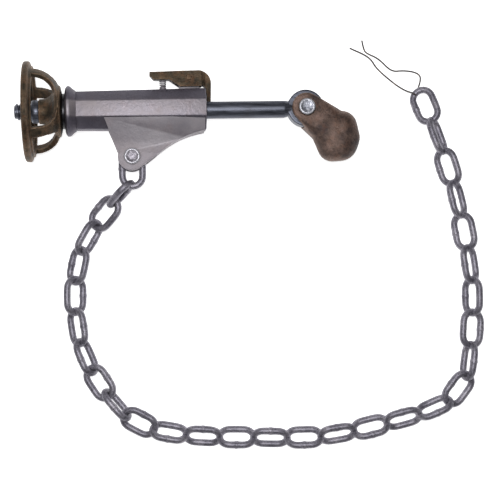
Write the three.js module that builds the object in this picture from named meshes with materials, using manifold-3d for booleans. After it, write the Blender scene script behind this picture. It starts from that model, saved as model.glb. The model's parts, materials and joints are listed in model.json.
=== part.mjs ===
// Screw load binder with a dished handwheel, an octagonal barrel, a grab hook and 30 links of chain.
// Millimetres, +Z up. The binder lies along +X on its wheel rim and its hook, the chain on the floor.
import * as THREE from 'three';
import { mergeVertices } from 'three/addons/utils/BufferGeometryUtils.js';
import Module from 'manifold-3d';

const wasm = await Module();
wasm.setup();

// ---- driving sizes ----------------------------------------------------------------------------
const GAP = 0.3; // left between faces that touch on the real object
const UP = new THREE.Vector3(0, 0, 1);

const rod = {
  r: 15.9, from: -21, flat: 13.4, neck: 461, eyeX: 487, eyeR: 32.5, eyeThick: 24, threadR: 14.2, threadTo: 184,
};
const barrel = { from: 84, to: 310, flatsLeft: 65.5, flatsRight: 72.6, bore: 21.7 };
const flange = { from: 66.4, r: 44.2, chamfer: 4 };
const bush = { length: 26, outer: 21.4, inner: 16.3 };
const thrust = { from: 61.5, r: 31 };
const wheel = {
  rimR: 87, rimHalf: 8.7, rimDepth: 13, domeFrom: 6, domeTo: 61.2, domeR: 79, shell: 8.5,
  squareness: 2.5, bossR: 20.5, bossFrom: 21, boreR: 17.3, spokes: 4,
};
const hubNut = { from: 8.5, collarTo: 20.7, collarR: 20, r: 17, bore: 14.8 };
const lug = { x: 179.4, y: -81.6, r: 24.6, outer: 15.4, plate: 8, pinR: 9.3, headR: 14, head: 5 };
const latch = { x: 282, y: 56.7, width: 22, slot: 10, pinR: 4.6, nose: 13.8 };
const spring = { x: 236, foot: 37.4, top: 51.6, r: 5.2, wire: 1.5, coils: 4 };
const hook = { cheekR: 23.5, cheekOut: 23.6, forkHalf: 12.4, slotHalf: 7.4, pinR: 12.4, headR: 14.2 };
const link = { wire: 12.7, inner: 61, width: 48, sides: 8, bendSteps: 8 };
const tie = { wire: 2.4, loopR: 8.4 };
const pose = { yaw: 1.6, pitch: 5.8, wheelX: -383, wheelY: 222.6 };

// Where the chain lies after its first link, which hangs on the lug pin: x and y of each link's
// middle, its roll about its own length in degrees and, where it is held off the floor, its height.
const chainStart = [-209, 97, 72];
const chainLay = [
  [-223.5, 83, 94, 53], [-252.5, 55, 15, 15],
  [-288, 9, -60], [-306, -41, 40], [-310, -95, -46], [-305, -152, 44], [-291, -207, -64],
  [-262, -251, 18], [-236, -289, -76], [-197, -325, 20], [-140, -339, -54], [-80, -345, 42],
  [-20, -346, -46], [40, -346, 44], [99, -348, -46], [159, -342, 45], [217, -328, -46],
  [275, -313, 44], [332, -297, -60], [382, -266, 22], [394, -212, -72], [397, -154, 22],
  [402, -96, -56], [396, -40, 50], [386, 19, -40], [374, 77, 50], [358, 135, -42],
  [338, 190, 60], [318, 245, -15],
];

// ---- materials --------------------------------------------------------------------------------
const finishes = {
  casting: { color: 0x5a4a3b, roughness: 0.75, metalness: 0.35 },
  plated: { color: 0x949096, roughness: 0.55, metalness: 0.6 },
  rolled: { color: 0x4b4e58, roughness: 0.42, metalness: 0.8 },
  bright: { color: 0xc9ccd1, roughness: 0.35, metalness: 0.9 },
  bronze: { color: 0x8d6a35, roughness: 0.5, metalness: 0.8 },
  chainSteel: { color: 0x797783, roughness: 0.5, metalness: 0.7 },
  wire: { color: 0x3d3c3f, roughness: 0.55, metalness: 0.7 },
};

function piece(name, finish, shape, parent) {
  const mesh = new THREE.Mesh(shape, new THREE.MeshStandardMaterial(finishes[finish]));
  mesh.name = name;
  parent.add(mesh);
  return mesh;
}

// ---- solid modelling helpers ------------------------------------------------------------------
const radians = THREE.MathUtils.degToRad;

/** A closed three.js geometry as a manifold solid. */
function solid(shape) {
  const bare = (shape.index ? shape.toNonIndexed() : shape).clone();
  bare.deleteAttribute('normal');
  bare.deleteAttribute('uv');
  const merged = mergeVertices(bare, 1e-4);
  return new wasm.Manifold(new wasm.Mesh({
    numProp: 3,
    vertProperties: new Float32Array(merged.attributes.position.array),
    triVerts: new Uint32Array(merged.index.array),
  }));
}

/** A manifold solid as a three.js geometry. */
function geometry(body) {
  const mesh = body.getMesh();
  const out = new THREE.BufferGeometry();
  out.setAttribute('position', new THREE.Float32BufferAttribute(mesh.vertProperties, 3));
  out.setIndex(Array.from(mesh.triVerts));
  return out;
}

/** A solid of revolution about +X from [x, radius] points, closed on the axis or as a ring. */
function turned(profile, segments, closed = true) {
  const points = profile.map(([x, r]) => new THREE.Vector2(r, x));
  if (closed) points.push(points[0].clone());
  const shape = new THREE.LatheGeometry(points, segments);
  shape.rotateZ(-Math.PI / 2);
  const body = solid(shape);
  return body.volume() > 0 ? body : solid(flipped(shape));
}

function flipped(shape) {
  const out = shape.toNonIndexed();
  const place = out.attributes.position;
  for (let i = 0; i < place.count; i += 3) {
    const [x, y, z] = [place.getX(i), place.getY(i), place.getZ(i)];
    place.setXYZ(i, place.getX(i + 1), place.getY(i + 1), place.getZ(i + 1));
    place.setXYZ(i + 1, x, y, z);
  }
  return out;
}

/** A plain round bar between two x values. */
const bar = (from, to, r, segments = 32) => turned([[from, 0], [from, r], [to, r], [to, 0]], segments, false);

/** A round bar along Z through x, y. */
function post(x, y, z0, z1, r, segments = 32) {
  const shape = new THREE.CylinderGeometry(r, r, z1 - z0, segments).rotateX(Math.PI / 2);
  return solid(shape.translate(x, y, (z0 + z1) / 2));
}

/** A box between two corners. */
function block(a, b) {
  const size = a.map((v, i) => b[i] - v);
  return solid(new THREE.BoxGeometry(...size).translate(...a.map((v, i) => (v + b[i]) / 2)));
}

/** An outline in XY, extruded along Z between two heights. */
function slab(outline, z0, z1, curveSegments = 10) {
  const shape = outline instanceof THREE.Shape ? outline
    : new THREE.Shape(outline.map(([x, y]) => new THREE.Vector2(x, y)));
  const cut = new THREE.ExtrudeGeometry(shape, { depth: z1 - z0, bevelEnabled: false, curveSegments });
  return solid(cut.translate(0, 0, z0));
}

/** A section in ZY ([z, y] points), extruded along X between two places. */
function beam(section, x0, x1) {
  const shape = new THREE.Shape(section.map(([z, y]) => new THREE.Vector2(z, y)));
  const cut = new THREE.ExtrudeGeometry(shape, { depth: x1 - x0, bevelEnabled: false });
  return solid(cut.rotateY(-Math.PI / 2).translate(x1, 0, 0));
}

/** A ball, coarse enough to hull cheaply. */
const ball = (x, y, z, r, segments = 20) => wasm.Manifold.sphere(r, segments).translate([x, y, z]);

/** A split pin through a bar along Z: an eye on one side and two bent legs on the other. */
function splitPin(x, y, z, reach) {
  const half = 1.5;
  const path = new THREE.CatmullRomCurve3([
    new THREE.Vector3(x + reach + 5, y + 3.5, z), new THREE.Vector3(x + reach + 1, y + 0.6, z),
    new THREE.Vector3(x + reach - 3, y, z), new THREE.Vector3(x, y, z),
    new THREE.Vector3(x - reach - 1, y, z), new THREE.Vector3(x - reach - 4, y + 2.6, z),
    new THREE.Vector3(x - reach - 7, y, z), new THREE.Vector3(x - reach - 4.4, y - 2.8, z),
  ]);
  return tube(path, half, 6, 24);
}

/** A round tube along an open curve, with closed ends. */
function tube(path, r, sides, steps) {
  const ring = Array.from({ length: sides }, (_, i) => {
    const turn = (i / sides) * 2 * Math.PI;
    return new THREE.Vector2(r * Math.cos(turn), r * Math.sin(turn));
  });
  return new THREE.ExtrudeGeometry(new THREE.Shape(ring), { steps, bevelEnabled: false, extrudePath: path });
}

// ---- the barrel and what is welded or pressed to it ---------------------------------------------
/** The barrel's eight-sided outside, grown by a gap when it cuts what sits against it. */
function makeBarrelOutside(grow = 0) {
  const toCorner = 1 / Math.cos(Math.PI / 8) / 2;
  const shell = new THREE.CylinderGeometry(
    (barrel.flatsRight + 2 * grow) * toCorner, (barrel.flatsLeft + 2 * grow) * toCorner,
    barrel.to - barrel.from, 8,
  );
  shell.rotateY(Math.PI / 8).rotateZ(-Math.PI / 2).translate((barrel.from + barrel.to) / 2, 0, 0);
  return solid(shell);
}

const makeBarrel = () => makeBarrelOutside().subtract(bar(barrel.from - 1, barrel.to + 1, barrel.bore, 40));

function makeFlange() {
  const { from, r, chamfer } = flange;
  const to = barrel.from - GAP;
  const inner = bush.inner + 0.4;
  return turned([[from, inner], [from, r - chamfer], [from + chamfer, r], [to - chamfer, r],
    [to, r - chamfer], [to, inner]], 40);
}

function makeBush(from) {
  const to = from + bush.length;
  return turned([[from, bush.inner], [from, bush.outer], [to, bush.outer], [to, bush.inner]], 32);
}

/** Side outline of the bracket: sloped front, round lug, hollow back edge running into the barrel. */
function bracketOutline(inset = 0) {
  const top = -16;
  const shape = new THREE.Shape();
  shape.moveTo(133 + inset, top);
  shape.lineTo(lug.x - lug.r + 1.2 + inset, lug.y + 6);
  shape.absarc(lug.x, lug.y, lug.r - inset, radians(172), radians(318), false);
  shape.bezierCurveTo(224, -82, 246, -50, barrel.to - 3, -38.5 + inset);
  shape.lineTo(barrel.to - 3, top);
  shape.closePath();
  return shape;
}

/** A cheek plate: flush with the barrel's side flat, then bent in and straight down to the lug. */
function makeCheek(side) {
  const { outer, plate } = lug;
  const inner = outer - plate;
  const section = [[34.4, -16], [outer, -52], [outer, -110], [inner, -110], [inner, -49], [26, -16]];
  let cheek = beam(section, 120, barrel.to).intersect(slab(bracketOutline(), -60, 60, 14));
  cheek = cheek.subtract(makeBarrelOutside(GAP));
  cheek = cheek.subtract(post(lug.x, lug.y, -50, 50, lug.pinR + GAP));
  return side > 0 ? cheek : cheek.mirror([0, 0, 1]);
}

/** The web that closes the bracket's hollow back edge between the cheeks. */
function makeWeb() {
  const clear = lug.outer - lug.plate - GAP;
  const inside = slab(bracketOutline(9), -clear - 1, clear + 1, 14).translate([-3.5, 1.5, 0]);
  const strip = slab(bracketOutline(), -clear, clear, 14).subtract(inside);
  const keep = block([223, -86, -clear], [barrel.to - 3, -16, clear]);
  return strip.intersect(keep).subtract(makeBarrelOutside(GAP));
}

/** A headed pin along Z with its washer and split pin, under the names that start with prefix. */
function addPin(prefix, parent, place) {
  const { x, y, r, headR, head, top, bottom } = place;
  const tail = bottom - 3.4;
  const hole = block([x - 30, y - 1.8, tail - 5.1], [x + 30, y + 1.8, tail - 1.5]);
  const shank = post(x, y, tail - 6.6, top, r, 28).subtract(hole);
  const cap = turned([[0, 0], [0, headR], [head - 2, headR], [head, headR - 2.4], [head, 0]], 28, false);
  const capUp = cap.rotate([0, -90, 0]).translate([x, y, top - 0.01]);
  piece(`${prefix}_pin`, 'bright', geometry(shank.add(capUp)), parent);
  const ring = post(x, y, bottom - 3, bottom - GAP, headR - 0.6, 28).subtract(post(x, y, -90, 90, r + GAP));
  piece(`${prefix}_pin_washer`, 'bright', geometry(ring), parent);
  piece(`${prefix}_pin_cotter`, 'bright', splitPin(x, y, tail - 3.3, r), parent);
}

// ---- latch ------------------------------------------------------------------------------------
function makeLatchPost() {
  const half = latch.slot / 2 - GAP - 0.2;
  const outline = new THREE.Shape();
  outline.moveTo(264, 30);
  outline.lineTo(264, 42);
  outline.absarc(latch.x, latch.y, 9, radians(215), radians(-35), true);
  outline.lineTo(300, 42);
  outline.lineTo(300, 30);
  const plate = slab(outline, -half, half).subtract(makeBarrelOutside(GAP));
  return plate.subtract(post(latch.x, latch.y, -20, 20, latch.pinR + GAP, 20));
}

function makeLatchLever() {
  const half = latch.width / 2;
  const shape = new THREE.Shape();
  shape.moveTo(213, 67);
  shape.lineTo(300, 68.6);
  shape.bezierCurveTo(313, 68, 320.4, 58, 320.6, 46);
  shape.lineTo(319.4, latch.nose);
  shape.lineTo(312.6, latch.nose);
  shape.lineTo(311.4, 38);
  shape.lineTo(305, 43);
  shape.lineTo(303, 40.6);
  shape.lineTo(266, 40);
  shape.lineTo(247, 53);
  shape.lineTo(220, 53.4);
  shape.lineTo(213, 61);
  let lever = slab(shape, -half, half, 10);
  // the thumb end and the nose are narrower than the pivot; the nose stands on the rod's flat
  const sides = [[206, 8], [240, 8.6], [262, half], [303, half], [310.5, 6.4], [324, 6.4]];
  const plan = [...sides, ...sides.toReversed().map(([x, z]) => [x, -z])];
  lever = lever.intersect(slab(plan, 0, 90).rotate([-90, 0, 0]));
  lever = lever.subtract(block([254, 30, -latch.slot / 2], [306, 66, latch.slot / 2]));
  return lever.subtract(post(latch.x, latch.y, -20, 20, latch.pinR + GAP, 20));
}

function makeSpring() {
  const steps = spring.coils * 12;
  const points = Array.from({ length: steps + 1 }, (_, i) => {
    const turn = (i / steps) * spring.coils * 2 * Math.PI;
    const rise = spring.foot + spring.wire + (spring.top - spring.foot - 2 * spring.wire) * (i / steps);
    return new THREE.Vector3(spring.x + spring.r * Math.cos(turn), rise, spring.r * Math.sin(turn));
  });
  return tube(new THREE.CatmullRomCurve3(points), spring.wire / 2 + 0.3, 6, steps);
}

function makeSpringStud() {
  const toTop = new THREE.CylinderGeometry(3.4, 3.4, 9, 16).translate(spring.x, spring.foot + 3, 0);
  const foot = new THREE.CylinderGeometry(7.4, 7.4, 3, 20).translate(spring.x, spring.foot - 1.8, 0);
  return solid(toTop).add(solid(foot)).subtract(makeBarrelOutside(GAP));
}

// ---- handwheel --------------------------------------------------------------------------------
/** The dish's radius at x, along a squared-off ellipse. */
function dishRadius(x, length, radius) {
  const share = Math.min(1, Math.max(0, (x - wheel.domeFrom) / length));
  return radius * (1 - share ** wheel.squareness) ** (1 / wheel.squareness);
}

function makeHandwheel() {
  const { rimR, rimHalf, rimDepth, domeFrom, domeTo, domeR, shell, bossR, bossFrom, boreR, spokes } = wheel;
  const rim = turned([[-rimHalf, rimR - rimDepth], [-rimHalf, rimR - 2], [-rimHalf + 2, rimR],
    [rimHalf - 2, rimR], [rimHalf, rimR - 2], [rimHalf, rimR - rimDepth]], 64);
  const along = (length, radius) => Array.from({ length: 15 }, (_, i) => {
    const share = Math.sin((i / 14) * Math.PI / 2);
    const x = domeFrom + length * share;
    return [x, dishRadius(x, length, radius)];
  });
  const outer = turned([[domeFrom, 0], ...along(domeTo - domeFrom, domeR)], 64, false);
  const inner = turned([[domeFrom - 1, 0], [domeFrom - 1, domeR - shell],
    ...along(domeTo - domeFrom - shell, domeR - shell)], 64, false);
  let cage = outer.subtract(inner);
  // each window's sides run towards the axis, so that the spokes between are even ribs
  const window = new THREE.Shape();
  window.moveTo(12.5, -58);
  window.lineTo(36, -58);
  window.bezierCurveTo(46, -57, 54.5, -36, 54.5, 0);
  window.bezierCurveTo(54.5, 36, 46, 57, 36, 58);
  window.lineTo(12.5, 58);
  window.closePath();
  const [cutFrom, cutTo, fullAt] = [24, 120, 75];
  const depth = cutTo - cutFrom;
  const fan = new THREE.ExtrudeGeometry(window, { depth, bevelEnabled: false, curveSegments: 8 });
  const place = fan.translate(0, 0, cutFrom).attributes.position;
  for (let i = 0; i < place.count; i += 1) place.setY(i, (place.getY(i) * place.getZ(i)) / fullAt);
  const cutter = solid(fan);
  for (let i = 0; i < spokes; i += 1) cage = cage.subtract(cutter.rotate([(i * 360) / spokes, 0, 0]));
  const boss = bar(bossFrom, domeTo, bossR, 40);
  const crown = bar(domeTo - 6, domeTo, 30, 48);
  return rim.add(cage).add(boss).add(crown).subtract(bar(-40, 90, boreR, 40));
}

function makeHubNut() {
  const { from, collarTo, collarR, r, bore } = hubNut;
  const to = wheel.domeTo;
  return turned([[from, bore], [from, collarR - 1.5], [from + 1.5, collarR], [collarTo, collarR],
    [collarTo, r], [to, r], [to, bore]], 36);
}

// ---- screw rod --------------------------------------------------------------------------------
function makeRod() {
  const { r, from, flat, neck, eyeX, eyeR, eyeThick, threadR, threadTo } = rod;
  const shank = turned([[from, 0], [from, threadR - 2.6], [from + 2.6, threadR], [threadTo, threadR],
    [threadTo + 2, r], [neck - 12, r], [neck, eyeThick / 2], [eyeX - 6, eyeThick / 2], [eyeX, 0]], 36, false);
  const aboveFlat = block([from - 1, flat, -r], [neck, r + 5, r]);
  const eye = post(eyeX, 0, -eyeThick / 2, eyeThick / 2, eyeR, 48);
  return shank.subtract(aboveFlat).add(eye).subtract(post(eyeX, 0, -40, 40, hook.pinR + GAP + 0.1, 32));
}

// ---- grab hook --------------------------------------------------------------------------------
function makeHook() {
  const { cheekR, cheekOut, forkHalf, slotHalf, pinR, headR } = hook;
  const x = rod.eyeX;
  const cheeks = post(x, 0, -cheekOut, cheekOut, cheekR, 40);
  const root = ball(x + 26, -22, 0, 25);
  const shoulder = ball(x + 47, -21, 0, 23.6);
  const waist = ball(x + 34, -38, 0, 27);
  const neck = wasm.Manifold.hull([cheeks, root, shoulder, waist]);
  const wings = wasm.Manifold.hull([
    waist, ball(x + 64, -33, -3, 28), ball(x + 64, -33, 3, 28), ball(x + 60.5, -61.8, 0, 32.44, 28),
    ball(x + 47, -68, 0, 27), ball(x + 70, -53, 0, 27),
  ]);
  let body = neck.add(wings);
  const fork = post(x, 0, -forkHalf, forkHalf, rod.eyeR + 1.2, 40);
  const approach = block([x - 60, -rod.eyeR - 1.2, -forkHalf], [x, rod.eyeR + 1.2, forkHalf]);
  body = body.subtract(fork).subtract(approach).subtract(post(x, 0, -60, 60, pinR + GAP, 32));
  for (const side of [1, -1]) {
    body = body.subtract(post(x, 0, side * (cheekOut + 10) - 10, side * (cheekOut + 10) + 10, headR + 1.5, 36));
  }
  // the slot that grips a chain link, open on the outer side and at the far end
  const floorOfSlot = post(x + 62, -50, -slotHalf, slotHalf, 13, 28);
  const mouth = block([x + 62, -63, -slotHalf], [x + 110, -37, slotHalf]);
  return body.subtract(floorOfSlot).subtract(mouth);
}

// ---- chain ------------------------------------------------------------------------------------
/** One link: a round wire swept round two half circles and two straights, lying in XY along +X. */
function makeLink() {
  const { wire, inner, width, sides, bendSteps } = link;
  const bend = (width - wire) / 2;
  const straight = inner / 2 - (width / 2 - wire);
  const stations = [];
  for (const end of [1, -1]) {
    for (let i = 0; i <= bendSteps; i += 1) {
      const turn = (end > 0 ? -90 : 90) + (i / bendSteps) * 180;
      stations.push({ turn: radians(turn), middle: end * straight });
    }
  }
  const places = [];
  for (const { turn, middle } of stations) {
    for (let s = 0; s < sides; s += 1) {
      const around = ((s + 0.5) / sides) * 2 * Math.PI;
      const out = bend + (wire / 2) * Math.cos(around);
      places.push(middle + out * Math.cos(turn), out * Math.sin(turn), (wire / 2) * Math.sin(around));
    }
  }
  const faces = [];
  for (let i = 0; i < stations.length; i += 1) {
    const j = (i + 1) % stations.length;
    for (let s = 0; s < sides; s += 1) {
      const t = (s + 1) % sides;
      const [a, b, c, d] = [i * sides + s, j * sides + s, j * sides + t, i * sides + t];
      faces.push(a, b, c, a, c, d);
    }
  }
  const shape = new THREE.BufferGeometry();
  shape.setAttribute('position', new THREE.Float32BufferAttribute(places, 3));
  shape.setIndex(faces);
  return shape;
}

/** Height at which a link with this roll rests on the floor. */
const restHeight = (roll) => (
  ((link.width - link.wire) / 2) * Math.abs(Math.sin(radians(roll))) + link.wire / 2
);

/** The points where the links on the floor meet, from the first link to the chain's free end. */
function layChain() {
  const middle = chainLay.map(([x, y, roll, z]) => new THREE.Vector3(x, y, z ?? restHeight(roll)));
  const meet = middle.slice(1).map((m, i) => {
    const point = m.clone().add(middle[i]).multiplyScalar(0.5);
    if (i > 0) point.z = Math.max(m.z, middle[i].z);
    return point;
  });
  const freeEnd = middle.at(-1).clone().multiplyScalar(2).sub(meet.at(-1)).setZ(middle.at(-1).z);
  return [new THREE.Vector3(...chainStart), ...meet, freeEnd];
}

/** Turn and place a link so that it runs between two points, rolled from flat by an angle. */
function placeLink(mesh, from, to, roll, flatNormal) {
  const along = to.clone().sub(from).normalize();
  const side = flatNormal.clone().cross(along).normalize();
  const rolledSide = side.applyAxisAngle(along, radians(roll));
  mesh.position.copy(from).add(to).multiplyScalar(0.5);
  mesh.quaternion.setFromRotationMatrix(
    new THREE.Matrix4().makeBasis(along, rolledSide, along.clone().cross(rolledSide)),
  );
}

function addChain(binder, floor) {
  const shape = makeLink();
  const name = (number) => `chain_link_${String(number).padStart(2, '0')}`;
  const seat = new THREE.Vector3(lug.x, lug.y + lug.pinR + 0.5, 0);
  const firstEnd = seat.clone().setY(seat.y - link.inner);
  placeLink(piece(name(1), 'chainSteel', shape, binder), seat, firstEnd, 0, UP);
  const meet = layChain();
  chainLay.forEach(([, , roll], i) => {
    placeLink(piece(name(i + 2), 'chainSteel', shape, floor), meet[i], meet[i + 1], roll, UP);
  });
}

/** The tie wire: one length of wire looped round the end link and led back beside itself. */
function addTieWire(parent) {
  const low = tie.wire / 2 + 0.7;
  const under = tie.wire / 2 + 0.3;
  const points = [
    [206, 366, low], [209, 349, low], [215, 342, low], [236, 333, low + 1], [259, 309, low],
    [279, 311, low + 1], [300, 309, low], [312, 302, low], [311, 289, under], [307, 279, under],
    [306, 269, 4.6], [302, 264, 14], [295, 267.6, 19], [285.4, 272, 11], [273, 281, low],
    [257, 293, low], [232, 315, low], [222, 331, low + 4], [208, 340, low + 5], [194, 347, low + 1],
    [184, 352, low],
  ].map((p) => new THREE.Vector3(...p));
  piece('tie_wire', 'wire', tube(new THREE.CatmullRomCurve3(points), tie.wire / 2, 8, 80), parent);
}

// ---- assembly ---------------------------------------------------------------------------------
const group = new THREE.Group();
const lying = new THREE.Group(); // the frame of the floor, before it is centred
group.add(lying);
const binder = new THREE.Group(); // x along the barrel from the wheel's rim, z across it
const axisHeight = wheel.rimR * Math.cos(radians(pose.pitch)) + wheel.rimHalf * Math.sin(radians(pose.pitch));
binder.position.set(pose.wheelX, pose.wheelY, axisHeight);
binder.rotation.set(0, radians(pose.pitch), radians(pose.yaw), 'ZYX');
lying.add(binder);

piece('barrel', 'plated', geometry(makeBarrel()), binder);
piece('barrel_flange', 'plated', geometry(makeFlange()), binder);
piece('left_guide_bush', 'bronze', geometry(makeBush(barrel.from + 2)), binder);
piece('right_guide_bush', 'bronze', geometry(makeBush(barrel.to - 2 - bush.length)), binder);
piece('front_cheek_plate', 'plated', geometry(makeCheek(1)), binder);
piece('rear_cheek_plate', 'plated', geometry(makeCheek(-1)), binder);
piece('curved_web', 'plated', geometry(makeWeb()), binder);
addPin('lug', binder, {
  x: lug.x, y: lug.y, r: lug.pinR, headR: lug.headR, head: lug.head,
  top: lug.outer + GAP, bottom: -lug.outer,
});
piece('latch_post', 'plated', geometry(makeLatchPost()), binder);
piece('latch_pivot_pin', 'bright', geometry(post(latch.x, latch.y, -12.6, 12.6, latch.pinR, 20)), binder);
piece('latch_lever', 'casting', geometry(makeLatchLever()), binder);
piece('latch_spring', 'bright', makeSpring(), binder);
piece('spring_stud', 'plated', geometry(makeSpringStud()), binder);
const thrustTo = flange.from - GAP;
piece('thrust_washer', 'rolled', geometry(turned([[thrust.from, bush.inner], [thrust.from, thrust.r],
  [thrustTo, thrust.r], [thrustTo, bush.inner]], 40)), binder);
piece('handwheel', 'casting', geometry(makeHandwheel()), binder);
piece('hub_nut', 'rolled', geometry(makeHubNut()), binder);
piece('screw_rod', 'rolled', geometry(makeRod()), binder);
piece('grab_hook', 'casting', geometry(makeHook()), binder);
addPin('hook', binder, {
  x: rod.eyeX, y: 0, r: hook.pinR, headR: hook.headR, head: 4, top: hook.cheekOut + GAP, bottom: -hook.cheekOut,
});
addChain(binder, lying);
addTieWire(lying);

// the origin is the middle of the whole object's outline, on the floor
group.updateMatrixWorld(true);
const extent = new THREE.Box3().setFromObject(group, true);
const middle = extent.getCenter(new THREE.Vector3());
lying.position.set(-middle.x, -middle.y, -extent.min.z);
group.updateMatrixWorld(true);

export default group;
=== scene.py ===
"""Looks of a screw load binder with its chain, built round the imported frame."""

import json
import math

import bpy
import numpy as np
from mathutils import Matrix, Vector


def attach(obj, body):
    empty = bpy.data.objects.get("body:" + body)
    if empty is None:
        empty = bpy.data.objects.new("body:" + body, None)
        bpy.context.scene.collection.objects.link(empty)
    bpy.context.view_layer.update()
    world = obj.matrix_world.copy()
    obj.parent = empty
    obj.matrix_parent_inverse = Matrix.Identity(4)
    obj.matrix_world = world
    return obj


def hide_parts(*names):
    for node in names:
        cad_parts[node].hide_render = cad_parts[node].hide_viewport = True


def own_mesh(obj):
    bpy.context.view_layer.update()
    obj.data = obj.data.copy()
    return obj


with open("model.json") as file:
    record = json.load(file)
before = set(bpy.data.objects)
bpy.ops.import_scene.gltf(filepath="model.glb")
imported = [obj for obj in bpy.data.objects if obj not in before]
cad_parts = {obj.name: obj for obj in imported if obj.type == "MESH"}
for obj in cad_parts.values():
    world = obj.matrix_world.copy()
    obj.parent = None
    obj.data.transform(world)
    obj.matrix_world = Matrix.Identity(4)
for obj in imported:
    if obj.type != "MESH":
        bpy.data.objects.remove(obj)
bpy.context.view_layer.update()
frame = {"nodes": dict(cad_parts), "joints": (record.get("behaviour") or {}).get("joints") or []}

MM = 0.001
SMOOTH_ANGLE = math.radians(38)
nodes = frame["nodes"]
joints = {j["name"]: j for j in frame["joints"]}


# ---- where things are ---------------------------------------------------------------------------
def frame_from(origin, along, up):
    """A placing matrix from a point, the x direction and the z direction."""
    along = Vector(along).normalized()
    up = Vector(up).normalized()
    turn = Matrix((along, up.cross(along), up)).transposed().to_4x4()
    return Matrix.Translation(Vector(origin)) @ turn


# the binder's own frame: x along the rod from the wheel's rim, z up through the pins
BINDER = frame_from(
    joints["wheel_spin"]["pos_m"], joints["wheel_spin"]["axis"], joints["hook_pivot"]["axis"]
)


def link_frame(node):
    """A link's own frame, x along it and y across it, from how its corners are spread."""
    corners = np.array([v.co for v in node.data.vertices])
    middle = corners.mean(0)
    axes = np.linalg.eigh(np.cov((corners - middle).T))[1]
    along, across = Vector(axes[:, 2]), Vector(axes[:, 1])
    up = along.cross(across)
    if up.z < 0:
        up = -up
    return frame_from(middle, along, up)


# ---- modelling helpers, in millimetres in the piece's own frame ---------------------------------
def take(obj):
    """Leave only this object selected and active."""
    bpy.ops.object.select_all(action="DESELECT")
    obj.select_set(True)
    bpy.context.view_layer.objects.active = obj


def named(name):
    """The object that the last operator made, with its place in its mesh."""
    obj = bpy.context.active_object
    obj.name = name
    bpy.ops.object.transform_apply(location=True, rotation=True, scale=True)
    return obj


def apply(obj, kind, **settings):
    """Add a modifier and apply it."""
    take(obj)
    modifier = obj.modifiers.new(kind.lower(), kind)
    for key, value in settings.items():
        setattr(modifier, key, value)
    bpy.ops.object.modifier_apply(modifier=modifier.name)
    return obj


def edit(obj, select="SELECT"):
    take(obj)
    bpy.ops.object.mode_set(mode="EDIT")
    bpy.ops.mesh.select_mode(type="VERT")
    bpy.ops.mesh.select_all(action=select)


def leave():
    bpy.ops.object.mode_set(mode="OBJECT")


def tidy_normals(obj, merge=1e-3):
    """Merge what coincides and point the faces outwards."""
    edit(obj)
    bpy.ops.mesh.remove_doubles(threshold=merge)
    bpy.ops.mesh.normals_make_consistent(inside=False)
    leave()
    return obj


def bar(name, x0, x1, r, sides=48):
    """A round bar along x."""
    bpy.ops.mesh.primitive_cylinder_add(
        vertices=sides, radius=r, depth=x1 - x0,
        location=((x0 + x1) / 2, 0, 0), rotation=(0, math.pi / 2, 0),
    )
    return named(name)


def post(name, x, y, z0, z1, r, sides=48):
    """A round post along z."""
    bpy.ops.mesh.primitive_cylinder_add(
        vertices=sides, radius=r, depth=z1 - z0, location=(x, y, (z0 + z1) / 2)
    )
    return named(name)


def block(name, low, high):
    size = Vector(high) - Vector(low)
    bpy.ops.mesh.primitive_cube_add(size=1, location=(Vector(low) + Vector(high)) / 2, scale=size)
    return named(name)


def ball(name, x, y, z, r):
    bpy.ops.mesh.primitive_ico_sphere_add(subdivisions=4, radius=r, location=(x, y, z))
    return named(name)


def turned(name, rings, sides=64, closed=False):
    """A turned piece: a circle extruded ring by ring along x; closed joins its last ring to its first."""
    x, r = rings[0]
    bpy.ops.mesh.primitive_circle_add(
        vertices=sides, radius=r, location=(x, 0, 0), rotation=(0, math.pi / 2, 0)
    )
    obj = named(name)
    edit(obj)
    if not closed:
        bpy.ops.mesh.edge_face_add()
    path = rings[1:] + rings[:1] if closed else rings[1:]
    for next_x, next_r in path:
        bpy.ops.mesh.extrude_region_move(TRANSFORM_OT_translate={"value": (next_x - x, 0, 0)})
        grow = next_r / r
        bpy.ops.transform.resize(value=(1, grow, grow), center_override=(next_x, 0, 0))
        x, r = next_x, next_r
    leave()
    return tidy_normals(obj)


def joined(name, parts):
    """Several meshes as one object."""
    bpy.ops.object.select_all(action="DESELECT")
    for part in parts:
        part.select_set(True)
    bpy.context.view_layer.objects.active = parts[0]
    bpy.ops.object.join()
    parts[0].name = name
    return parts[0]


def hulled(name, parts):
    """The tight skin round several meshes."""
    obj = joined(name, parts)
    edit(obj)
    bpy.ops.mesh.convex_hull()
    leave()
    return obj


def combine(obj, tool, operation="DIFFERENCE"):
    """Cut with a tool, or add it, and throw the tool away."""
    apply(obj, "BOOLEAN", object=tool, operation=operation, solver="EXACT")
    bpy.data.objects.remove(tool)
    return obj


def cast(obj, voxel, rounds):
    """Remesh finely and relax, which rounds every edge as a casting's are."""
    apply(obj, "REMESH", mode="VOXEL", voxel_size=voxel, adaptivity=0)
    apply(obj, "SMOOTH", factor=0.5, iterations=rounds)
    return obj


def rounded(obj, width, segments=2, angle=30):
    """Round the edges that are sharper than an angle."""
    apply(
        obj, "BEVEL", width=width, segments=segments, limit_method="ANGLE",
        angle_limit=math.radians(angle), harden_normals=False, use_clamp_overlap=True,
    )
    return obj


def shaded(obj, angle=SMOOTH_ANGLE):
    take(obj)
    bpy.ops.object.shade_smooth_by_angle(angle=angle)
    return obj


def finished(obj, place, body, slot, material, *stands_for):
    """Put a piece that was modelled in millimetres in its place, on its body, with its finish."""
    obj.data.transform(place @ Matrix.Scale(MM, 4))
    return fitted(obj, body, slot, material, *stands_for)


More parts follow.
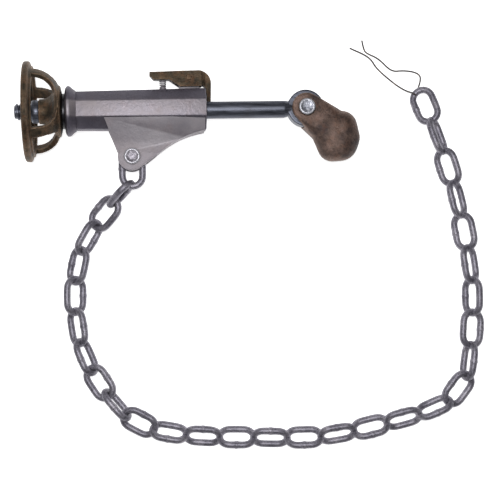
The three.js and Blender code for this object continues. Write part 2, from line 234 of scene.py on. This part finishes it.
def fitted(obj, body, slot, material, *stands_for):
    shaded(obj)
    obj.data.materials.clear()
    obj.data.materials.append(material)
    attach(obj, body)
    if stands_for:
        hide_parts(*stands_for)
    return obj


def from_frame(node, name, edge, segments=2, voxel=0, rounds=4):
    """A frame node's own shape with its edges rounded, or remeshed as a casting."""
    copy = bpy.data.objects.new(name, nodes[node].data.copy())
    bpy.context.scene.collection.objects.link(copy)
    copy.data.transform(Matrix.Scale(1 / MM, 4))
    copy.data.materials.clear()
    edit(copy)
    bpy.ops.mesh.remove_doubles(threshold=2e-3)
    bpy.ops.mesh.dissolve_limited(angle_limit=math.radians(0.6))
    leave()
    if voxel:
        cast(copy, voxel, rounds)
    elif edge:
        rounded(copy, edge, segments)
    copy.data.transform(Matrix.Scale(MM, 4))
    return copy


# ---- finishes -----------------------------------------------------------------------------------
def srgb(red, green, blue):
    """A screen colour as the linear values that a shader takes."""
    def linear(value):
        value /= 255
        return value / 12.92 if value <= 0.04045 else ((value + 0.055) / 1.055) ** 2.4
    return (linear(red), linear(green), linear(blue), 1.0)


class Nodes:
    """A short way to write a material's nodes."""

    def __init__(self, name):
        self.material = bpy.data.materials.new(name)
        self.material.use_nodes = True
        self.tree = self.material.node_tree
        self.shader = self.tree.nodes["Principled BSDF"]
        self.place = self.add("ShaderNodeTexCoord").outputs["Object"]

    def add(self, kind, **inputs):
        node = self.tree.nodes.new(kind)
        for key, value in inputs.items():
            socket = node.inputs[key.replace("_", " ")]
            if isinstance(value, bpy.types.NodeSocket):
                self.tree.links.new(value, socket)
            else:
                socket.default_value = value
        return node

    def noise(self, size, detail=5.0, rough=0.55, stretch=None, turn=(0, 0, 0)):
        """Cloudy values with features of about this size in metres."""
        place = self.place
        if stretch:
            place = self.add("ShaderNodeMapping", Vector=place, Scale=stretch, Rotation=turn).outputs[0]
        made = self.add("ShaderNodeTexNoise", Vector=place, Scale=1 / size, Detail=detail, Roughness=rough)
        return made.outputs["Fac"]

    def ramp(self, value, stops):
        node = self.add("ShaderNodeValToRGB", Fac=value)
        elements = node.color_ramp.elements
        while len(elements) < len(stops):
            elements.new(0.5)
        for element, (position, colour) in zip(elements, stops):
            element.position = position
            element.color = colour if isinstance(colour, tuple) else (colour, colour, colour, 1)
        return node.outputs["Color"]

    def mix(self, share, a, b, kind="MIX"):
        node = self.tree.nodes.new("ShaderNodeMix")
        node.data_type = "RGBA"
        node.blend_type = kind
        for socket, value in ((node.inputs[0], share), (node.inputs[6], a), (node.inputs[7], b)):
            if isinstance(value, bpy.types.NodeSocket):
                self.tree.links.new(value, socket)
            else:
                socket.default_value = value
        return node.outputs[2]

    def math(self, kind, a, b):
        node = self.tree.nodes.new("ShaderNodeMath")
        node.operation = kind
        for socket, value in zip(node.inputs, (a, b)):
            if isinstance(value, bpy.types.NodeSocket):
                self.tree.links.new(value, socket)
            else:
                socket.default_value = value
        return node.outputs[0]

    def along(self, direction, start):
        """How far a point lies from a start along a direction, in metres."""
        dot = self.add("ShaderNodeVectorMath")
        dot.operation = "DOT_PRODUCT"
        self.tree.links.new(self.place, dot.inputs[0])
        dot.inputs[1].default_value = direction
        return self.math("SUBTRACT", dot.outputs["Value"], start.dot(direction))

    def edges(self, low, high):
        """1 on ridges and corners, 0 elsewhere."""
        point = self.add("ShaderNodeNewGeometry").outputs["Pointiness"]
        return self.ramp(point, [(low, 0.0), (high, 1.0)])

    def painted_hollow_shade(self, reach):
        """1 in the open, towards 0 in corners and recesses; multiplied into a colour it paints shade into
        them.
        """
        return self.add("ShaderNodeAmbientOcclusion", Distance=reach).outputs["AO"]

    def done(self, colour, rough, metal, bumps):
        """Wire the shader: bumps is a list of (height, depth in metres)."""
        self.tree.links.new(colour, self.shader.inputs["Base Color"])
        if isinstance(rough, bpy.types.NodeSocket):
            self.tree.links.new(rough, self.shader.inputs["Roughness"])
        else:
            self.shader.inputs["Roughness"].default_value = rough
        self.shader.inputs["Metallic"].default_value = metal
        normal = None
        for height, depth in bumps:
            bump = self.add("ShaderNodeBump", Height=height, Distance=depth)
            if normal:
                self.tree.links.new(normal, bump.inputs["Normal"])
            normal = bump.outputs["Normal"]
        if normal:
            self.tree.links.new(normal, self.shader.inputs["Normal"])
        return self.material


def weathered_casting(name, dark, middle, light, rust_tone, rust_share, cloud_size):
    """A rough iron casting: clouded brown, rust blooms, dark pores, rubbed edges and painted shade in its
    hollows.
    """
    n = Nodes(name)
    cloud = n.noise(cloud_size, 5, 0.55)
    fine = n.noise(0.004, 6, 0.65)
    base = n.ramp(cloud, [(0.34, dark), (0.5, middle), (0.64, light)])
    rust = n.ramp(n.noise(0.016, 6, 0.65), [(0.48, 0.0), (0.68, 1.0)])
    colour = n.mix(n.math("MULTIPLY", rust, rust_share), base, rust_tone)
    colour = n.mix(n.ramp(fine, [(0.34, 0.5), (0.54, 0.0)]), colour, srgb(36, 29, 25))
    worn = n.math("MULTIPLY", n.edges(0.505, 0.56), fine)
    colour = n.mix(worn, colour, srgb(176, 146, 122))
    # painted shade: the colour is darkened in corners and recesses by the occlusion factor
    colour = n.mix(1.0, colour, n.ramp(n.painted_hollow_shade(0.03), [(0.25, 0.3), (0.9, 1.0)]), "MULTIPLY")
    rough = n.ramp(fine, [(0.3, 0.42), (0.7, 0.7)])
    return n.done(colour, rough, 0.7, [(n.noise(0.007, 5, 0.6), 0.0016), (n.noise(0.0012, 4, 0.7), 0.0004)])


# the unshaded flats reach this far from the barrel's middle plane, and the full painted shade of the side
# facets starts here
FLAT_TO, SIDE_SHADE_FROM = 0.0134, 0.0158
SIDE_SHADE_TINT = (0.4, 0.4, 0.46, 1)


def dull_plating(name, metal, painted_side_shade=False):
    """Dulled plating with stains and painted shade in its hollows; the barrel's has plain flats, above and
    below, and side facets darkened with painted shade.
    """
    n = Nodes(name)
    cloud = n.noise(0.045, 6, 0.6)
    base = n.ramp(cloud, [
        (0.32, srgb(118, 112, 120)), (0.52, srgb(140, 133, 139)), (0.7, srgb(154, 145, 148)),
    ])
    stain = n.ramp(n.noise(0.02, 7, 0.65), [(0.5, 0.0), (0.7, 1.0)])
    colour = n.mix(n.math("MULTIPLY", stain, 0.3), base, srgb(140, 118, 116))
    fine = n.noise(0.0022, 5, 0.7)
    colour = n.mix(n.ramp(fine, [(0.3, 0.3), (0.5, 0.0)]), colour, srgb(98, 94, 102))
    colour = n.mix(n.math("MULTIPLY", n.edges(0.51, 0.58), 0.5), colour, srgb(188, 184, 190))
    # painted shade: the colour is darkened in corners and recesses by the occlusion factor
    colour = n.mix(1.0, colour, n.ramp(n.painted_hollow_shade(0.02), [(0.2, 0.4), (0.85, 1.0)]), "MULTIPLY")
    # painted shade: the barrel's side facets, away from the flats above and below, are darkened in the
    # colour
    if painted_side_shade:
        off_flat = n.along(BINDER.to_3x3() @ Vector((0, 1, 0)), BINDER.translation)
        side = n.ramp(n.math("ABSOLUTE", off_flat, 0.0), [(FLAT_TO, 0.0), (SIDE_SHADE_FROM, 1.0)])
        colour = n.mix(side, colour, n.mix(1.0, colour, SIDE_SHADE_TINT, "MULTIPLY"))
    rough = n.ramp(cloud, [(0.3, 0.48), (0.7, 0.62)])
    return n.done(colour, rough, metal, [(n.noise(0.006, 5), 0.0006), (n.noise(0.0012, 4, 0.7), 0.00025)])


def rolled_bar():
    n = Nodes("oiled_rolled_bar")
    streak = n.noise(0.004, 5, 0.6, stretch=(0.05, 1, 1))
    base = n.ramp(streak, [
        (0.3, srgb(68, 71, 80)), (0.55, srgb(92, 95, 106)), (0.75, srgb(116, 118, 128)),
    ])
    cloud = n.noise(0.03, 6, 0.6)
    colour = n.mix(n.ramp(cloud, [(0.5, 0.0), (0.75, 0.5)]), base, srgb(52, 50, 54))
    rough = n.ramp(streak, [(0.3, 0.34), (0.7, 0.52)])
    return n.done(colour, rough, 0.75, [(streak, 0.0002), (n.noise(0.0015, 4), 0.00015)])


def chain_galvanising():
    n = Nodes("weathered_chain_steel")
    cloud = n.noise(0.02, 6, 0.6)
    base = n.ramp(cloud, [
        (0.3, srgb(112, 109, 120)), (0.5, srgb(140, 137, 148)), (0.7, srgb(168, 164, 173)),
    ])
    fine = n.noise(0.003, 6, 0.7)
    colour = n.mix(n.ramp(fine, [(0.35, 0.6), (0.55, 0.0)]), base, srgb(70, 67, 76))
    colour = n.mix(n.ramp(n.noise(0.011, 7, 0.7), [(0.6, 0.0), (0.75, 0.45)]), colour, srgb(122, 100, 92))
    # painted shade: the colour is darkened in corners and where links meet by the occlusion factor
    colour = n.mix(1.0, colour, n.ramp(n.painted_hollow_shade(0.012), [(0.15, 0.45), (0.8, 1.0)]), "MULTIPLY")
    rough = n.ramp(fine, [(0.3, 0.36), (0.7, 0.58)])
    return n.done(colour, rough, 0.6, [(n.noise(0.003, 5), 0.0005), (n.noise(0.0009, 3), 0.0002)])


def bright_zinc(name, dark, middle, light):
    """Mottled pin steel whose raised edges are rubbed bright."""
    n = Nodes(name)
    cloud = n.noise(0.005, 6, 0.65)
    colour = n.ramp(cloud, [(0.34, dark), (0.52, middle), (0.66, light)])
    colour = n.mix(n.math("MULTIPLY", n.edges(0.5, 0.56), 0.8), colour, srgb(214, 214, 220))
    rough = n.ramp(n.noise(0.002, 4), [(0.3, 0.36), (0.7, 0.56)])
    return n.done(colour, rough, 0.7, [(cloud, 0.0006), (n.noise(0.001, 3), 0.00015)])


def soft_bronze():
    n = Nodes("bearing_bronze")
    colour = n.ramp(n.noise(0.01), [(0.3, srgb(112, 84, 44)), (0.7, srgb(158, 122, 66))])
    return n.done(colour, 0.42, 0.85, [(n.noise(0.001), 0.0001)])


def annealed_wire():
    n = Nodes("annealed_wire")
    cloud = n.noise(0.012, 5, 0.65)
    colour = n.ramp(cloud, [(0.35, srgb(52, 48, 47)), (0.55, srgb(86, 80, 78)), (0.7, srgb(120, 104, 92))])
    return n.done(colour, 0.5, 0.55, [(n.noise(0.001), 0.00015)])


def dark_grease():
    n = Nodes("greased_steel")
    colour = n.ramp(n.noise(0.008), [(0.35, srgb(24, 23, 26)), (0.7, srgb(52, 50, 55))])
    return n.done(colour, 0.38, 0.6, [(n.noise(0.002), 0.0002)])


casting = weathered_casting(
    "weathered_iron_casting", srgb(40, 35, 27), srgb(76, 66, 52), srgb(112, 92, 72), srgb(118, 84, 60),
    rust_share=0.5, cloud_size=0.024,
)
hook_casting = weathered_casting(
    "weathered_hook_forging", srgb(66, 56, 56), srgb(106, 88, 80), srgb(134, 112, 103), srgb(126, 92, 74),
    rust_share=0.4, cloud_size=0.03,
)
plating = dull_plating("dull_plated_steel", 0.35)
barrel_plating = dull_plating("dull_plated_barrel", 0.8, painted_side_shade=True)
rolled = rolled_bar()
chain_steel = chain_galvanising()
zinc = bright_zinc("bright_zinc", srgb(104, 106, 116), srgb(150, 152, 162), srgb(206, 208, 216))
pin_grey = bright_zinc("worn_pin_steel", srgb(104, 101, 108), srgb(134, 130, 138), srgb(170, 166, 174))
bronze = soft_bronze()
wire_black = annealed_wire()
greased = dark_grease()

# ---- camera, light and floor --------------------------------------------------------------------
scene = bpy.context.scene
camera = bpy.data.objects.new("camera", bpy.data.cameras.new("camera"))
scene.collection.objects.link(camera)
scene.camera = camera
camera.data.lens = 84
camera.data.sensor_width = 36
camera.location = (-0.0046, -0.094, 2.098)
aim = Vector((-0.0046, -0.0138, 0))
camera.rotation_euler = (aim - camera.location).to_track_quat("-Z", "Y").to_euler()

bpy.ops.mesh.primitive_plane_add(size=12, location=(0, 0, -0.0006))
floor = named("floor")
paper = Nodes("white_floor")
paper.shader.inputs["Emission Color"].default_value = (1, 1, 1, 1)
paper.shader.inputs["Emission Strength"].default_value = 0.8
floor.data.materials.append(paper.done(paper.ramp(paper.noise(0.5), [(0, 0.93), (1, 0.96)]), 0.9, 0, []))

scene.view_settings.view_transform = "Standard"
world = bpy.data.worlds.new("studio")
scene.world = world
world.use_nodes = True
backdrop = world.node_tree.nodes["Background"]
backdrop.inputs["Color"].default_value = (1.0, 1.0, 1.0, 1)
backdrop.inputs["Strength"].default_value = 0.04


def soft_light(name, place, watts, size):
    """A soft square light that faces the middle of the object."""
    lamp = bpy.data.lights.new(name, "AREA")
    lamp.energy = watts
    lamp.size = size
    obj = bpy.data.objects.new(name, lamp)
    scene.collection.objects.link(obj)
    obj.location = place
    obj.rotation_euler = (-Vector(place)).to_track_quat("-Z", "Y").to_euler()


soft_light("key", (-0.05, 0.14, 2.4), 40, 0.5)
soft_light("fill", (-0.9, 1.8, 1.5), 4, 0.7)


# ---- barrel and bracket -------------------------------------------------------------------------
BARREL_FROM, BARREL_TO = 84.0, 310.0
FLATS_LEFT, FLATS_RIGHT = 65.5, 72.6
BORE = 21.7


def make_barrel():
    """Eight-sided tube, a little wider at the rod's end, with its corners rounded."""
    corner = 1 / math.cos(math.pi / 8) / 2
    bpy.ops.mesh.primitive_cylinder_add(
        vertices=8, radius=FLATS_LEFT * corner, depth=BARREL_TO - BARREL_FROM,
        location=((BARREL_FROM + BARREL_TO) / 2, 0, 0), rotation=(0, math.pi / 2, 0),
    )
    barrel = named("barrel_body")
    barrel.data.transform(Matrix.Rotation(math.pi / 8, 4, "X"))
    edit(barrel, "DESELECT")
    leave()
    for vertex in barrel.data.vertices:
        vertex.select = vertex.co.x > BARREL_TO - 1
    bpy.ops.object.mode_set(mode="EDIT")
    grow = FLATS_RIGHT / FLATS_LEFT
    bpy.ops.transform.resize(value=(1, grow, grow), center_override=(BARREL_TO, 0, 0))
    leave()
    combine(barrel, bar("bore", BARREL_FROM - 2, BARREL_TO + 2, BORE, 64))
    return rounded(barrel, 1.6, 3, 40)


finished(make_barrel(), BINDER, "barrel", "plated", barrel_plating, "barrel")

flange = turned("flange_collar", [
    (66.4, 16.7), (66.4, 37.5), (67.6, 41.2), (70.2, 43.8), (73.4, 44), (76.4, 42.2), (80, 38.6),
    (84.6, 35.4), (86, 31), (86, 16.7),
], 72, closed=True)
finished(flange, BINDER, "barrel", "plated", barrel_plating, "barrel_flange")

for node, name, edge in (
    ("front_cheek_plate", "front_cheek", 1.0),
    ("rear_cheek_plate", "rear_cheek", 1.0),
    ("curved_web", "bracket_web", 0.5),
    ("latch_post", "latch_stand", 0.8),
    ("spring_stud", "spring_seat", 0.5),
):
    fitted(from_frame(node, name, edge), "barrel", "plated", plating, node)

for node in ("left_guide_bush", "right_guide_bush"):
    nodes[node].data.materials.clear()
    nodes[node].data.materials.append(bronze)

washer = turned("thrust_ring", [
    (61.5, 16.3), (61.5, 30), (62.1, 31), (65.5, 31), (66.1, 30), (66.1, 16.3),
], 64, closed=True)
finished(washer, BINDER, "barrel", "rolled", greased, "thrust_washer")


# ---- pins ---------------------------------------------------------------------------------------
def make_pin(name, x, y, r, top, tail, head_r, head):
    """A pin along z with a flat head that has a raised rim."""
    pin = turned(name, [
        (tail, r - 1.2), (tail + 1.2, r), (top, r), (top, head_r - 0.6), (top + 0.6, head_r),
        (top + head - 1.2, head_r), (top + head - 0.3, head_r - 0.9), (top + head, head_r - 2),
        (top + head, head_r - 3.6), (top + head - 0.7, head_r - 4.6), (top + head - 0.6, 3),
        (top + head - 0.5, 1),
    ], 48)
    pin.data.transform(Matrix.Translation((x, y, 0)) @ Matrix.Rotation(-math.pi / 2, 4, "Y"))
    return pin


LUG = (179.4, -81.6)
EYE = (487.0, 0.0)
lug_pin = make_pin("lug_pin_body", *LUG, r=9.3, top=15.7, tail=-25.2, head_r=14, head=5)
finished(lug_pin, BINDER, "barrel", "bright", pin_grey, "lug_pin")
hook_pin = make_pin("hook_pin_body", *EYE, r=12.4, top=23.9, tail=-33.6, head_r=14.2, head=4)
finished(hook_pin, BINDER, "hook", "bright", zinc, "hook_pin")
for owner, prefix in (("barrel", "lug"), ("hook", "hook")):
    ring = from_frame(f"{prefix}_pin_washer", f"{prefix}_washer", 0.4)
    fitted(ring, owner, "bright", zinc, f"{prefix}_pin_washer")
    cotter = from_frame(f"{prefix}_pin_cotter", f"{prefix}_split_pin", 0)
    apply(cotter, "SUBSURF", levels=2, render_levels=2)
    fitted(cotter, owner, "bright", zinc, f"{prefix}_pin_cotter")

# ---- latch --------------------------------------------------------------------------------------
LATCH_PIVOT = (282.0, 56.7, 0.0)
lever = from_frame("latch_lever", "latch_casting", 0, voxel=0.65, rounds=5)
fitted(lever, "latch", "casting", casting, "latch_lever")
pivot = turned("latch_pivot", [
    (-11.4, 3.6), (-10.9, 4.6), (10.9, 4.6), (11.4, 3.8), (11.8, 1.6), (11.9, 0.6),
], 32)
pivot.data.transform(Matrix.Translation(LATCH_PIVOT) @ Matrix.Rotation(-math.pi / 2, 4, "Y"))
finished(pivot, BINDER, "barrel", "bright", casting, "latch_pivot_pin")


def make_tube(name, points, r, sides=4, smooth=12):
    """A round wire along points, made as a curve and turned into a mesh with closed ends."""
    curve = bpy.data.curves.new(name, "CURVE")
    curve.dimensions = "3D"
    curve.bevel_depth = r
    curve.bevel_resolution = sides
    curve.use_fill_caps = True
    line = curve.splines.new("NURBS")
    line.points.add(len(points) - 1)
    for target, point in zip(line.points, points):
        target.co = (*point, 1)
    line.use_endpoint_u = True
    line.order_u = 3
    line.resolution_u = smooth
    obj = bpy.data.objects.new(name, curve)
    scene.collection.objects.link(obj)
    take(obj)
    bpy.ops.object.convert(target="MESH")
    return bpy.context.active_object


SPRING_X, SPRING_FOOT, SPRING_TOP = 236.0, 37.4, 51.6


def make_spring():
    """Compression spring whose end turns lie flat."""
    coils, steps, r, wire = 5.5, 20, 5.2, 0.9
    points = []
    for i in range(int(coils * steps) + 1):
        share = i / (coils * steps)
        eased = min(1, max(0, (share * coils - 0.8) / (coils - 1.6)))
        rise = SPRING_FOOT + wire + (SPRING_TOP - SPRING_FOOT - 2 * wire) * eased
        turn = 2 * math.pi * i / steps
        points.append((SPRING_X + r * math.cos(turn), rise, r * math.sin(turn)))
    return make_tube("latch_coil_spring", points, wire, 3, 2)


coil = finished(make_spring(), BINDER, "barrel", "bright", plating, "latch_spring")
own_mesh(coil)


# ---- handwheel ----------------------------------------------------------------------------------
RIM_R, RIM_FROM, RIM_TO, RIM_DEPTH = 87.0, -3.6, 8.7, 13.0
DOME_FROM, DOME_TO, DOME_R, SHELL = 6.0, 61.2, 79.0, 8.5
WHEEL_BORE = 17.3
WINDOW_FROM, WINDOW_FULL, WINDOW_TO = 24.0, 75.0, 120.0
WINDOW_TURN = math.radians(-9)


def dish_ring(share, length, radius):
    """A point on the dish's side, which is a squared-off quarter ellipse."""
    return DOME_FROM + length * share, radius * (1 - share ** 2.5) ** 0.4


def make_window_cutter(turn):
    """A rounded window for the dish: its sides run towards the axis, so the spokes are even ribs."""
    outline = [(12.5, -58), (24, -58), (36, -58), (44, -53), (50, -42), (53.5, -22), (54.5, 0)]
    outline += [(x, -y) for x, y in reversed(outline[:-1])]
    bpy.ops.mesh.primitive_circle_add(vertices=len(outline), radius=1)
    cutter = named("window_cutter")
    for vertex, (x, y) in zip(cutter.data.vertices, outline):
        vertex.co = (x, y * WINDOW_FROM / WINDOW_FULL, WINDOW_FROM)
    edit(cutter)
    bpy.ops.mesh.edge_face_add()
    bpy.ops.mesh.extrude_region_move(TRANSFORM_OT_translate={"value": (0, 0, WINDOW_TO - WINDOW_FROM)})
    grow = WINDOW_TO / WINDOW_FROM
    bpy.ops.transform.resize(value=(1, grow, 1), center_override=(0, 0, WINDOW_TO))
    leave()
    cutter.data.transform(Matrix.Rotation(turn, 4, "X"))
    return tidy_normals(cutter)


def make_handwheel():
    """Dished wheel: a ring rim, a bell with four windows, and a boss for the hub nut."""
    shares = [math.sin(i / 16 * math.pi / 2) for i in range(17)]
    outer = [dish_ring(s, DOME_TO - DOME_FROM, DOME_R) for s in shares[:-2]] + [(DOME_TO, WHEEL_BORE)]
    inner = [dish_ring(s, DOME_TO - DOME_FROM - SHELL, DOME_R - SHELL) for s in shares[:-2]]
    inner += [(DOME_TO - SHELL, WHEEL_BORE)]
    bell = turned("wheel_casting", outer + inner[::-1], 96, closed=True)
    for i in range(4):
        combine(bell, make_window_cutter(WINDOW_TURN + i * math.pi / 2))
    rim = turned("rim", [
        (RIM_FROM, RIM_R - RIM_DEPTH), (RIM_FROM, RIM_R - 2.5), (RIM_FROM + 2.5, RIM_R),
        (RIM_TO - 2.5, RIM_R), (RIM_TO, RIM_R - 2.5), (RIM_TO, RIM_R - RIM_DEPTH),
    ], 96, closed=True)
    boss = turned("boss", [
        (21, WHEEL_BORE), (21, 21.5), (32, 22.5), (39, 26), (45, 33), (50, 43),
        (DOME_TO - 3, 45), (DOME_TO, 31), (DOME_TO, WHEEL_BORE),
    ], 72, closed=True)
    return cast(joined("wheel_casting", [bell, rim, boss]), 1.25, 6)


finished(make_handwheel(), BINDER, "handwheel", "casting", casting, "handwheel")

hub = turned("hub_bush", [
    (8.5, 14.6), (8.5, 17.8), (9.4, 19.2), (11, 20), (18.6, 20), (20.2, 19.4), (20.7, 18), (20.7, 17),
    (61.2, 17), (61.2, 14.6),
], 48, True)
finished(hub, BINDER, "handwheel", "rolled", rolled, "hub_nut")


# ---- screw rod ----------------------------------------------------------------------------------
ROD_R, THREAD_R, LEAD = 15.9, 14.2, 6.35
ROD_FLAT = 13.4
ROD_END = -21.0


def make_rod():
    """Forged rod: a bar with a flat on one side, running into a thick eye."""
    rod = turned("rod_forging", [
        (178, 12), (184, 12.6), (186, ROD_R), (449, ROD_R), (456, 13.6), (464, 12.4), (480, 12),
    ], 64)
    combine(rod, post("eye", *EYE, -12, 12, 32.5, 72), "UNION")
    combine(rod, block("over_flat", (170, ROD_FLAT, -20), (452, 40, 20)))
    combine(rod, post("eye_hole", *EYE, -40, 40, 12.8))
    return cast(rod, 1.1, 5)


def make_thread():
    """The screw: one tooth's outline carried round the rod, with a chamfered free end."""
    turns = 32
    root, start = THREAD_R - 2.3, ROD_END + 1.2
    core = turned("screw_thread", [(ROD_END, 10.4), (ROD_END + 1.4, root), (184, root)], 48)
    bpy.ops.mesh.primitive_circle_add(vertices=4, radius=1)
    tooth = named("tooth")
    foot = root - 0.2
    shape = [(0.25, foot), (2.0, THREAD_R), (4.2, THREAD_R), (5.9, foot)]
    for vertex, (x, r) in zip(tooth.data.vertices, shape):
        vertex.co = (start + x, r, 0)
    edit(tooth, "DESELECT")
    leave()
    for vertex in tooth.data.vertices:
        vertex.select = vertex.co.y < THREAD_R - 1
    bpy.ops.object.mode_set(mode="EDIT")
    bpy.ops.mesh.delete(type="EDGE")
    leave()
    apply(
        tooth, "SCREW", axis="X", angle=2 * math.pi * turns, screw_offset=LEAD * turns,
        steps=28 * turns, render_steps=28 * turns, use_normal_calculate=True,
    )
    return joined("screw_thread", [core, tooth])


finished(make_rod(), BINDER, "rod", "rolled", rolled, "screw_rod")
finished(make_thread(), BINDER, "rod", "rolled", rolled)


# ---- grab hook ----------------------------------------------------------------------------------
CHEEK_OUT, FORK_HALF, FORK_R, SLOT_HALF = 23.6, 12.4, 33.7, 7.4


def make_hook():
    """Forged grab hook: a forked neck on the eye and a swollen head with a slot for a link."""
    x = EYE[0]
    neck = hulled("neck", [
        post("cheeks", x, 0, -CHEEK_OUT, CHEEK_OUT, 25.5), ball("root", x + 26, -22, 0, 25),
        ball("shoulder", x + 47, -21, 0, 23.6), ball("waist", x + 34, -38, 0, 26.5),
    ])
    head = hulled("head", [
        ball("a", x + 34, -38, 0, 26), ball("b", x + 64, -33, -3, 28), ball("c", x + 64, -33, 3, 28),
        ball("d", x + 60.5, -61.8, 0, 32.4), ball("e", x + 47, -68, 0, 27), ball("f", x + 70, -53, 0, 27),
    ])
    hook = combine(neck, head, "UNION")
    cast(hook, 1.6, 10)
    combine(hook, post("fork", x, 0, -FORK_HALF, FORK_HALF, FORK_R, 64))
    combine(hook, block("approach", (x - 60, -FORK_R, -FORK_HALF), (x, FORK_R, FORK_HALF)))
    combine(hook, post("pin_hole", x, 0, -60, 60, 12.7))
    for side in (-1, 1):
        z = side * (CHEEK_OUT + 10)
        combine(hook, post("spot_face", x, 0, z - 10, z + 10, 15.7))
    combine(hook, post("slot_seat", x + 62, -50, -SLOT_HALF, SLOT_HALF, 13))
    combine(hook, block("slot_mouth", (x + 62, -63, -SLOT_HALF), (x + 110, -37, SLOT_HALF)))
    hook.name = "hook_forging"
    return cast(hook, 1.0, 4)


finished(make_hook(), BINDER, "hook", "casting", hook_casting, "grab_hook")


# ---- chain --------------------------------------------------------------------------------------
WIRE_R, BEND_R, STRAIGHT = 6.35, 17.65, 12.85
LINKS = 30


def make_link():
    """One welded link: a round wire extruded and spun round two ends, swollen at its weld."""
    bpy.ops.mesh.primitive_circle_add(
        vertices=14, radius=WIRE_R, location=(STRAIGHT, -BEND_R, 0), rotation=(0, math.pi / 2, 0)
    )
    link = named("chain_link")
    edit(link)
    for side in (1, -1):
        bpy.ops.mesh.spin(
            steps=10, angle=-math.pi, center=(side * STRAIGHT, 0, 0), axis=(0, 0, 1), use_auto_merge=False
        )
        y = side * BEND_R
        x = side * STRAIGHT
        weld = ((9, 1.0), (3.2, 1.02), (2.0, 1.11), (0, 1.13), (-2.0, 1.11), (-3.2, 1.02), (-9, 1.0))
        stations = weld if side > 0 else ((0, 1.0),)
        size = 1.0
        for along, swell in (*stations, (-STRAIGHT, 1.0)):
            new_x = side * along
            bpy.ops.mesh.extrude_region_move(TRANSFORM_OT_translate={"value": (new_x - x, 0, 0)})
            grow = swell / size
            bpy.ops.transform.resize(value=(1, grow, grow), center_override=(new_x, y, 0))
            x, size = new_x, swell
    leave()
    tidy_normals(link, 0.05)
    return apply(link, "SUBSURF", levels=1, render_levels=1)


pattern = make_link()
half_turn = Matrix.Rotation(math.pi, 4, "X")
for number in range(1, LINKS + 1):
    node = f"chain_link_{number:02d}"
    link = bpy.data.objects.new(f"link_{number:02d}_forged", pattern.data.copy())
    scene.collection.objects.link(link)
    place = link_frame(nodes[node])
    if number % 2:
        place = place @ half_turn
    finished(link, place, f"link_{number:02d}", "chain_steel", chain_steel, node)
bpy.data.objects.remove(pattern)

# ---- tie wire -----------------------------------------------------------------------------------
LAY_SHIFT = Vector((-8.184, -0.392, 0.18))
TIE_WIRE_R = 1.45
low = TIE_WIRE_R + 0.5
tie_route = [
    (206, 366, low), (209, 349, low), (215, 342, low), (236, 333, low + 1), (259, 309, low),
    (279, 311, low + 1), (300, 309, low), (312, 302, low), (311, 289, 1.5), (307, 279, 1.5),
    (306, 269, 4.6), (302, 264, 14), (295, 267.6, 19), (285.4, 272, 11), (273, 281, low),
    (257, 293, low), (232, 315, low), (222, 331, low + 4), (208, 340, low + 5), (194, 347, low + 1),
    (184, 352, low),
]
tie = make_tube("tie_wire_strand", [Vector(p) + LAY_SHIFT for p in tie_route], TIE_WIRE_R)
finished(tie, Matrix.Identity(4), "link_30", "dark_wire", wire_black, "tie_wire")
